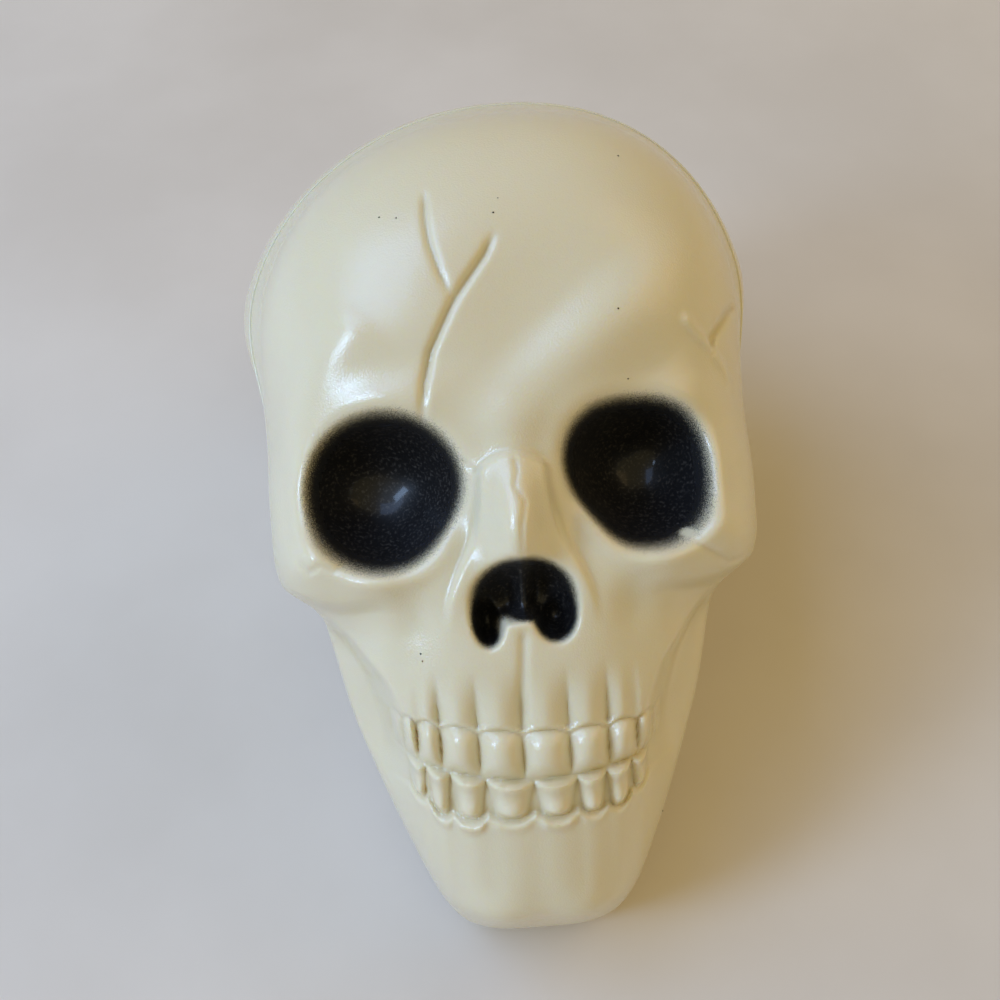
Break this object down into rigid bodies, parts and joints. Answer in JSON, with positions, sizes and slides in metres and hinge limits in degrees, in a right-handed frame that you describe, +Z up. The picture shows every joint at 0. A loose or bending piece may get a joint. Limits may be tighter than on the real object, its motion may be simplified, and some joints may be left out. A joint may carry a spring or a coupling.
{
  "type": "skull ornament",
  "caption": "Hollow moulded plastic skull ornament with a clenched jaw, a lap seam round its outline and gloss black eye sockets and nose, lying back on its chin and occiput.",
  "frame": {"origin": "on the table, under the middle of the box that holds the skull in its resting pose", "axes": "+Z up from the table, +Y from the chin towards the crown, +X to the skull's own left; the face looks up and towards -Y"},
  "size_m": [0.1064, 0.165, 0.1165],
  "materials": {
    "bone_plastic": "cream plastic, semi-gloss with a fine orange-peel skin",
    "black_paint": "sprayed gloss black paint with a speckled edge"
  },
  "bodies": {
    "root": {"face_shell": "bone_plastic", "back_shell": "bone_plastic", "right_socket_paint": "black_paint", "left_socket_paint": "black_paint", "nose_paint": "black_paint", "base_plug": "bone_plastic"}
  },
  "joints": []
}
